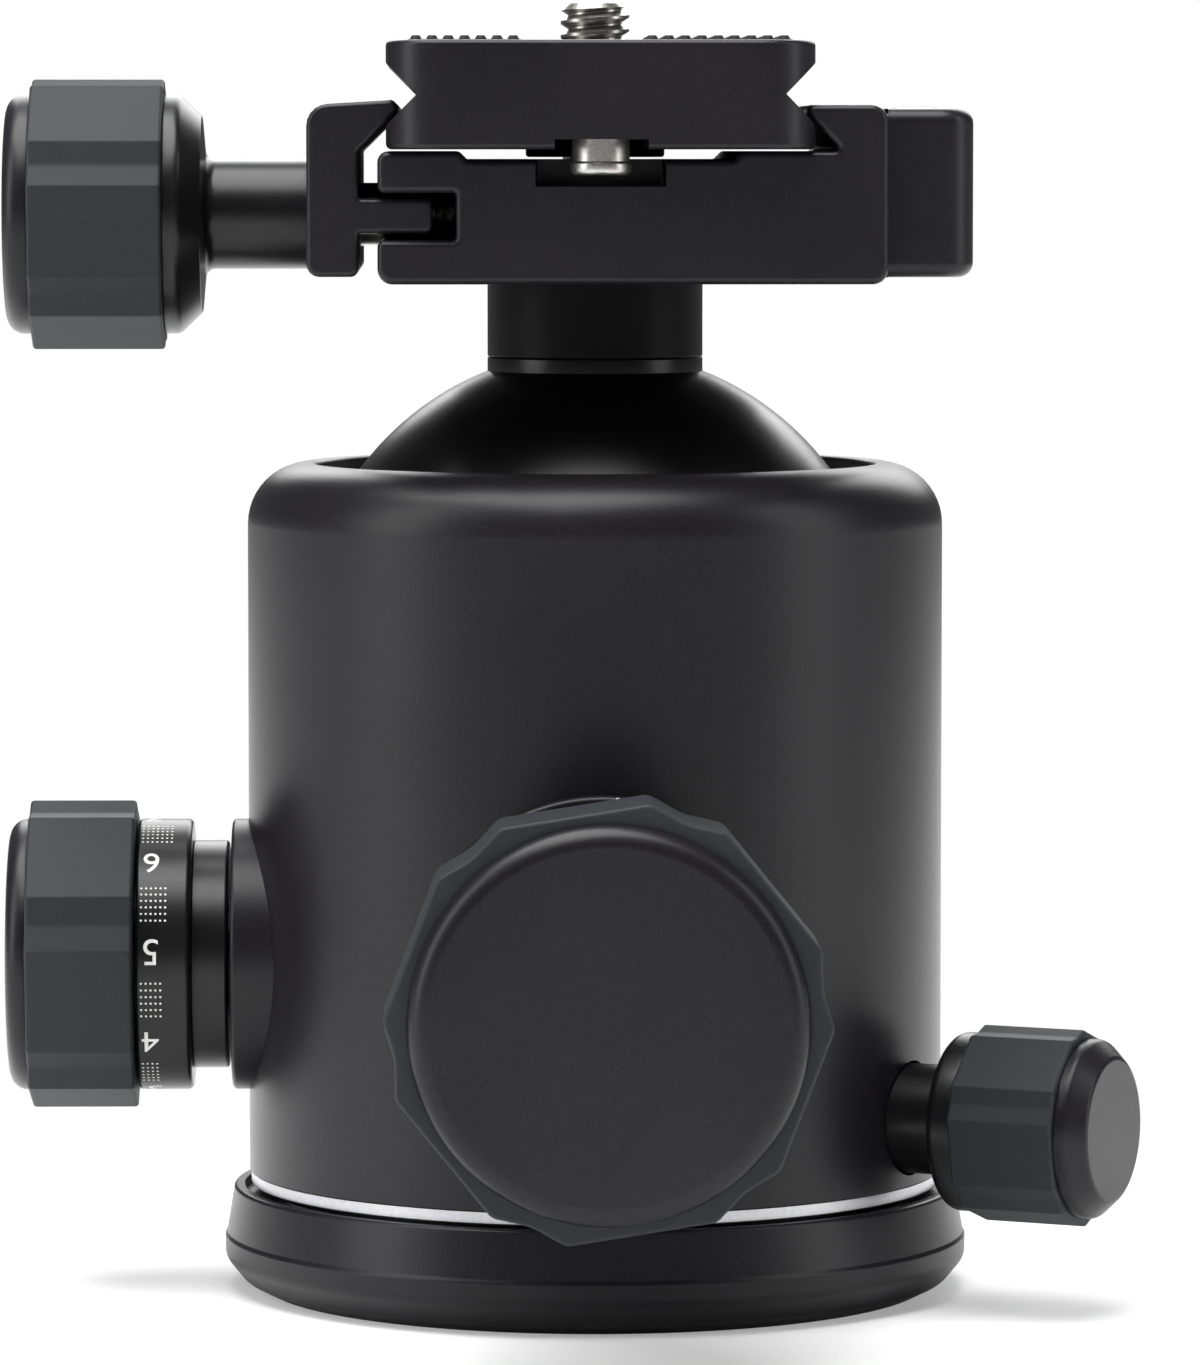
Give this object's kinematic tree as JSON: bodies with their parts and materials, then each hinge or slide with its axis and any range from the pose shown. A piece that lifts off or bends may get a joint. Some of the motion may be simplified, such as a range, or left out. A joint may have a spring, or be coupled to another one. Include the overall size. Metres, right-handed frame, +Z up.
{
  "type": "tripod ball head",
  "caption": "Ball head for a tripod, with lock, friction and pan knobs, a dovetail clamp and a camera plate on top.",
  "frame": {"origin": "on the pan axis at the underside of the base", "axes": "+Z up along the pan axis, +X away from the clamp knob, -Y towards the main lock knob"},
  "size_m": [0.1035, 0.0949, 0.1184],
  "materials": {
    "black_anodised": "satin black anodised",
    "clamp_black": "fine blasted black anodised",
    "bright_aluminium": "bright turned",
    "plain_aluminium": "turned, uncoated",
    "ball_finish": "hard anodised, polished",
    "steel": "turned",
    "black_steel": "black oxide",
    "spring_steel": "drawn wire",
    "brass": "turned",
    "slip_plastic": "natural acetal",
    "grip_rubber": "moulded rubber",
    "pad_rubber": "nubbed rubber",
    "level_liquid": "clear, green liquid"
  },
  "bodies": {
    "base": {"base_plate": "black_anodised", "tripod_insert": "steel", "pan_drum": "plain_aluminium", "drum_screws": "black_steel", "pan_washer_lower": "slip_plastic"},
    "housing": {"housing": "black_anodised", "trim_ring": "bright_aluminium", "pan_washer_upper": "slip_plastic", "upper_race": "slip_plastic", "lift_ring": "steel", "main_bush": "black_anodised", "friction_bush": "black_anodised", "pan_guide": "brass"},
    "ball_cup": {"ball_cup": "slip_plastic"},
    "ball": {"ball": "ball_finish"},
    "head": {"neck": "black_anodised", "clamp_body": "clamp_black", "clamp_bolt": "black_steel", "neck_pins": "steel", "level_cup": "bright_aluminium", "level_lens": "level_liquid", "jaw_springs": "spring_steel"},
    "jaw": {"jaw": "clamp_black"},
    "clamp_knob": {"clamp_screw": "steel", "clamp_hub": "black_anodised", "clamp_grip": "grip_rubber", "clamp_cap": "black_anodised"},
    "plate": {"plate": "clamp_black", "plate_pads": "pad_rubber", "stop_pins": "steel", "screw_clip": "black_steel"},
    "camera_screw": {"camera_screw": "steel"},
    "main_knob": {"main_screw": "steel", "main_hub": "black_anodised", "main_grip": "grip_rubber", "main_cap": "black_anodised"},
    "main_wedge": {"main_wedge": "steel"},
    "friction_knob": {"friction_screw": "steel", "friction_hub": "black_anodised", "friction_dial": "black_anodised", "friction_grip": "grip_rubber", "friction_cap": "black_anodised"},
    "friction_wedge": {"friction_wedge": "steel"},
    "pan_knob": {"pan_screw": "steel", "pan_hub": "black_anodised", "pan_grip": "grip_rubber", "pan_cap": "black_anodised"},
    "pan_pad": {"pan_pad": "slip_plastic"}
  },
  "joints": [
    {"name": "pan", "type": "hinge", "parent": "base", "child": "housing", "pos_m": [0, 0, 0.0092], "axis": [0, 0, 1], "continuous": true},
    {"name": "ball_swivel", "type": "hinge", "parent": "housing", "child": "ball_cup", "pos_m": [0, 0, 0.0596], "axis": [0, 0, 1], "range_deg": [-360, 360]},
    {"name": "ball_tilt", "type": "hinge", "parent": "ball_cup", "child": "ball", "pos_m": [0, 0, 0.0596], "axis": [-1, 0, 0], "range_deg": [-37, 90]},
    {"name": "neck_turn", "type": "hinge", "parent": "ball", "child": "head", "pos_m": [0, 0, 0.086], "axis": [0, 0, -1], "continuous": true},
    {"name": "jaw_slide", "type": "slide", "parent": "head", "child": "jaw", "axis": [-1, 0, 0], "range_m": [0, 0.0035], "deforming": ["jaw_springs"]},
    {"name": "clamp_knob_turn", "type": "hinge", "parent": "jaw", "child": "clamp_knob", "pos_m": [-0.0262, 0, 0.0991], "axis": [-1, 0, 0], "range_deg": [0, 1012]},
    {"name": "plate_slide", "type": "slide", "parent": "head", "child": "plate", "axis": [0, 1, 0], "range_m": [-0.002, 0.002]},
    {"name": "camera_screw_turn", "type": "hinge", "parent": "plate", "child": "camera_screw", "pos_m": [0, 0, 0.11], "axis": [0, 0, 1], "continuous": true},
    {"name": "main_knob_turn", "type": "hinge", "parent": "housing", "child": "main_knob", "pos_m": [0, -0.0335, 0.0308], "axis": [0, -1, 0], "range_deg": [0, 180]},
    {"name": "main_wedge_slide", "type": "slide", "parent": "housing", "child": "main_wedge", "axis": [0, -1, 0], "range_m": [0, 0.0006]},
    {"name": "friction_knob_turn", "type": "hinge", "parent": "housing", "child": "friction_knob", "pos_m": [-0.0335, 0, 0.0308], "axis": [-1, 0, 0], "range_deg": [-164, 123]},
    {"name": "friction_wedge_slide", "type": "slide", "parent": "housing", "child": "friction_wedge", "axis": [-1, 0, 0], "range_m": [-0.0004, 0.0003]},
    {"name": "pan_knob_turn", "type": "hinge", "parent": "housing", "child": "pan_knob", "pos_m": [0.0278, -0.01416, 0.0172], "axis": [0.891, -0.454, 0], "range_deg": [0, 180]},
    {"name": "pan_pad_slide", "type": "slide", "parent": "housing", "child": "pan_pad", "axis": [0.891, -0.454, 0], "range_m": [0, 0.0003]}
  ],
  "couplings": [
    {"joint": "clamp_knob_turn", "follows": "jaw_slide", "rad_per_m": 5026.5},
    {"joint": "main_wedge_slide", "follows": "main_knob_turn", "m_per_rad": 0.00015915},
    {"joint": "friction_wedge_slide", "follows": "friction_knob_turn", "m_per_rad": 0.00012732},
    {"joint": "pan_pad_slide", "follows": "pan_knob_turn", "m_per_rad": 0.000079577}
  ]
}
